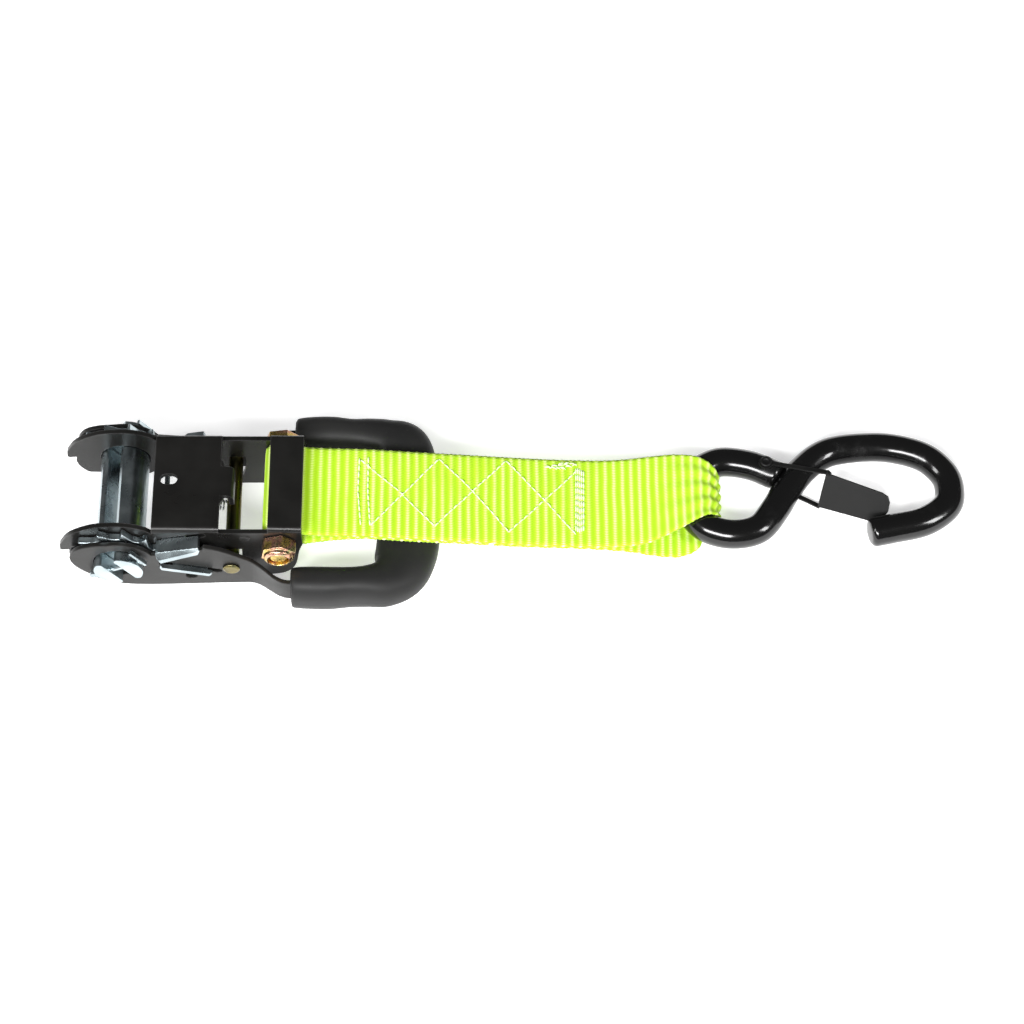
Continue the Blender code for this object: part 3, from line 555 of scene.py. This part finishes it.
def make_stitching(material):
    """Two rows by the ratchet, three crosses, and a dense bar and a tuft of back-stitches by the hook."""
    runs = list(STITCH_RUNS)
    for k in range(5):
        x = 186.2 + 0.8 * k
        runs.append([(x + 0.2, 19.6 - 0.4 * abs(k - 1)), (x, 4.0), (x - 0.3, -11.2 + 0.5 * abs(k - 2))])
    bm = bmesh.new()
    for index, run in enumerate(runs):
        points = even([(x, y, 0.0) for x, y in run], STITCH_PITCH)
        for i, (a, b) in enumerate(zip(points, points[1:])):
            wobble = 0.12 * math.sin(7.3 * i + index)
            start = Vector((a[0], a[1] + wobble, top_height(a[0]) + THREAD_RISE))
            end = Vector((b[0], b[1] + wobble, top_height(b[0]) + THREAD_RISE))
            stitch(bm, start, start.lerp(end, 0.93), STITCH_THICK, 0.22)
    for i in range(22):
        t = i / 21.0
        x = 173.5 + 11.0 * t + 0.8 * math.sin(5.1 * i)
        y = 18.9 + 2.2 * t + 0.7 * math.sin(3.7 * i)
        turn = 0.5 * math.sin(2.3 * i)
        a = Vector((x, y, top_height(x) + THREAD_RISE))
        b = a + Vector((2.4 * math.cos(turn), 2.4 * math.sin(turn), 0.0))
        b.z = top_height(b.x) + THREAD_RISE
        stitch(bm, a, b, 0.55, 0.25)
    made = mesh_object("webbing_stitching", bm, material, "base")
    return made


# Hook

def hook_route():
    """The hook's centre line in plan from its pivot: the closed eye, the shank and the bowl."""
    return [(38.9, 9.4), (35.6, 11.5), (26.2, 15.6), (14.2, 17.0), (5.3, 12.6), (1.0, 6.2), (0.0, 0.0),
            (1.2, -7.1), (7.3, -14.2), (17.7, -17.1), (28.6, -14.6), (36.2, -5.4), (41.4, 3.1), (49.1, 13.3),
            (59.6, 21.1), (73.9, 23.6), (87.4, 23.2), (100.6, 18.9), (108.3, 11.0), (110.2, 3.0),
            (108.0, -4.8), (98.2, -11.7), (84.8, -14.9), (74.8, -16.9)]


def hook_matrix():
    turn = Matrix.Rotation(HOOK_TURN, 4, "Z") @ Matrix.Rotation(HOOK_DROOP, 4, "Y")
    return Matrix.Translation(HOOK_PIVOT) @ turn


def make_hook(material):
    """The coated wire, a little uneven, with rounded ends."""
    route = even(smooth_run(hook_route(), 10), 1.2)
    sides = 40
    rings = []
    place_hook = hook_matrix()
    for i, (x, y) in enumerate(route):
        out = flat_frame(route, i)
        ring = []
        for k in range(sides):
            angle = math.tau * k / sides
            c, s = math.cos(angle), math.sin(angle)
            swell = 1.0 + 0.012 * noise.noise(Vector((x * 0.07, y * 0.07, s)))
            skin = (out * c + Vector((0, 0, s))) * WIRE_R * swell
            ring.append(place_hook @ ((Vector((x, y, 0.0)) + skin) * MM))
        rings.append(ring)
    for end, step in ((0, 1), (-1, -1)):
        ring = rings[end]
        centre = sum(ring, Vector()) / sides
        inward = (sum(rings[end + step], Vector()) / sides - centre).normalized()
        quarter = [math.radians(15 * q) for q in range(7)]
        steps = [(1 - TIP_ROUND / WIRE_R * (1 - math.cos(q)), TIP_ROUND * (1 - math.sin(q)))
                 for q in quarter]
        caps = [[centre + (p - centre) * share + inward * depth * MM for p in ring]
                for share, depth in steps + [(0.3, -0.05), (0.02, -0.06)]]
        rings = caps[::-1] + rings[3:] if end == 0 else rings[:-3] + caps
    made = mesh_object("hook_coated", ring_loft(rings), material, "hook")
    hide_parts("hook_body")


# Grip

def grip_path():
    """The grip's centre line with its half width and half height: (x, y, half width, half height)."""
    near_end = [(69.5, -34.9, 6.3, 9.2), (71.0, -34.9, 7.1, 10.0), (77.0, -35.1, 7.5, 10.3),
                (85.0, -35.2, 7.5, 10.3), (93.0, -34.7, 7.1, 10.1)]
    near_bend = [(100.0, -34.2, 7.5, 9.9), (107.5, -32.6, 9.3, 9.4), (113.2, -27.4, 11.6, 8.9),
                 (116.0, -19.0, 12.7, 8.5), (117.0, -9.5, 13.0, 8.4)]
    far_bend = [(117.0, 9.5, 13.0, 8.4), (116.0, 20.0, 12.8, 8.5), (113.0, 29.8, 12.8, 8.9),
                (107.0, 33.6, 9.0, 9.4), (100.0, 34.4, 7.9, 9.9)]
    far_end = [(x, -y, wide, high) for x, y, wide, high in reversed(near_end)]
    return near_end + near_bend + [(117.0, 0.0, 13.0, 8.4)] + far_bend + far_end


def make_grip(material):
    """The moulded D grip, with a fine mould seam all round it."""
    path = smooth_run(grip_path(), 10)
    sides = 72
    rings = []
    for i, (x, y, wide, high) in enumerate(path):
        out = flat_frame(path, i)
        ring = []
        for k in range(sides):
            angle = math.tau * (k + 0.5) / sides
            c, s = math.cos(angle), math.sin(angle)
            u = math.copysign(abs(c) ** 0.8, c) * wide
            v = math.copysign(abs(s) ** 0.8, s) * high
            groove = 0.35 * math.exp(-((v - (GRIP_SEAM - high)) / 0.4) ** 2)
            skin = out * (u - math.copysign(groove, c)) + Vector((0, 0, v))
            ring.append(place(x, y, GRIP_FLOOR + high) + skin * MM)
        rings.append(ring)
    for end in (0, -1):
        ring = rings[end]
        centre = sum(ring, Vector()) / sides
        inner = [centre + (p - centre) * 0.9 for p in ring]
        tiny = [centre + (p - centre) * 0.02 for p in ring]
        rings = [tiny, inner] + rings if end == 0 else rings + [inner, tiny]
    made = mesh_object("grip_moulding", ring_loft(rings), material, "handle", 50)
    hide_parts("handle_grip")


# CAD nodes that stay

def finish_node(name, material, edge):
    """Gives a CAD node its material, and edges rounded by edge millimetres, or smooth shading alone for 0."""
    node = NODES[name]
    node.data.materials.clear()
    node.data.materials.append(material)
    node.data.shade_smooth()
    weld = node.modifiers.new("weld", "WELD")
    weld.merge_threshold = 0.000002
    if edge:
        bevel = node.modifiers.new("soft_edges", "BEVEL")
        bevel.width = edge * MM
        bevel.segments = 2
        bevel.limit_method = "ANGLE"
        bevel.angle_limit = math.radians(28)
        weighted = node.modifiers.new("flat_faces", "WEIGHTED_NORMAL")
        weighted.mode = "FACE_AREA"
        weighted.keep_sharp = True
    else:
        node.data.set_sharp_from_angle(angle=math.radians(40))


def dress_nodes():
    # The third colour given to each coat is the colour of its painted edge highlight.
    black = coat_look("frame_coat", (0.0062, 0.0060, 0.0056), (0.13, 0.13, 0.13), 0.3, 1500.0)
    satin = coat_look("handle_coat", (0.0085, 0.0082, 0.0076), (0.12, 0.12, 0.12), 0.38, 1900.0)
    latch = coat_look("latch_coat", (0.0035, 0.0035, 0.0034), (0.03, 0.03, 0.03), 0.5, 2100.0)
    zinc, gold, spring = zinc_look(), gold_look(), spring_look()
    finish_node("base_frame", black, 0.3)
    for name in ("handle_arm_near", "handle_arm_far"):
        finish_node(name, satin, 0.3)
    for name in ("mandrel_bar_upper", "mandrel_bar_lower", "ratchet_wheel_near",
                 "ratchet_wheel_far", "lock_pawl", "drive_pawl"):
        finish_node(name, zinc, 0.3)
    for name in ("cotter_pin_near", "cotter_pin_far"):
        finish_node(name, zinc, 0.15)
    for name in ("anchor_bolt", "anchor_nut"):
        finish_node(name, gold, 0.3)
    finish_node("cross_rod", rod_look(), 0.3)
    finish_node("anchor_sleeve", spring, 0.1)
    finish_node("keeper", latch, 0.12)
    finish_node("keeper_pin", latch, 0.2)
    for name in ("lock_pawl_spring", "drive_pawl_spring"):
        finish_node(name, spring, 0.0)


# Stage, lights and camera

def make_stage():
    bm = bmesh.new()
    bmesh.ops.create_grid(bm, x_segments=8, y_segments=8, size=3.0)
    mesh = bpy.data.meshes.new("floor")
    bm.to_mesh(mesh)
    bm.free()
    mesh.materials.append(floor_look())
    floor = bpy.data.objects.new("floor", mesh)
    floor.location.z = -0.0002
    bpy.context.scene.collection.objects.link(floor)


def area_light(name, at, toward, size, power):
    data = bpy.data.lights.new(name, "AREA")
    data.shape = "RECTANGLE"
    data.size, data.size_y = size
    data.energy = power
    light = bpy.data.objects.new(name, data)
    light.location = at
    light.rotation_euler = (Vector(toward) - Vector(at)).to_track_quat("-Z", "Y").to_euler()
    bpy.context.scene.collection.objects.link(light)


def make_lights():
    world = bpy.data.worlds.new("studio")
    world.use_nodes = True
    world.node_tree.nodes["Background"].inputs["Color"].default_value = (1.0, 1.0, 1.0, 1.0)
    world.node_tree.nodes["Background"].inputs["Strength"].default_value = 0.1
    bpy.context.scene.world = world
    area_light("front", (-0.25, -0.95, 1.0), (0.0, 0.0, 0.0), (0.9, 0.35), 30.0)
    area_light("left", (-1.1, -0.35, 0.9), (-0.1, 0.0, 0.0), (0.3, 0.6), 8.0)
    area_light("right", (1.0, -0.5, 0.8), (0.1, 0.0, 0.0), (0.25, 0.5), 8.0)
    bpy.context.scene.view_settings.view_transform = "Standard"


def make_camera():
    """About 62 degrees above the table, a little from the left, with a slight roll."""
    rise, yaw, roll = (math.radians(a) for a in (61.96, 1.68, 1.44))
    ahead = Vector((math.sin(yaw) * math.cos(rise), math.cos(yaw) * math.cos(rise), -math.sin(rise)))
    right = Vector((math.cos(yaw), -math.sin(yaw), 0.0))
    up = right.cross(ahead)
    side = right * math.cos(roll) + up * math.sin(roll)
    over = up * math.cos(roll) - right * math.sin(roll)
    data = bpy.data.cameras.new("photo_camera")
    data.lens = 94.87
    data.sensor_width = 36.0
    camera = bpy.data.objects.new("photo_camera", data)
    matrix = Matrix((side, over, -ahead)).transposed().to_4x4()
    matrix.translation = place(159.45, -8.38, 6.35) - ahead * 1.1
    camera.matrix_world = matrix
    bpy.context.scene.collection.objects.link(camera)
    bpy.context.scene.camera = camera


make_camera()
make_lights()
make_stage()
dress_nodes()
band, band_length = make_webbing(webbing_look())
stitches = make_stitching(thread_look())
make_hook(vinyl_look())
make_grip(grip_look())
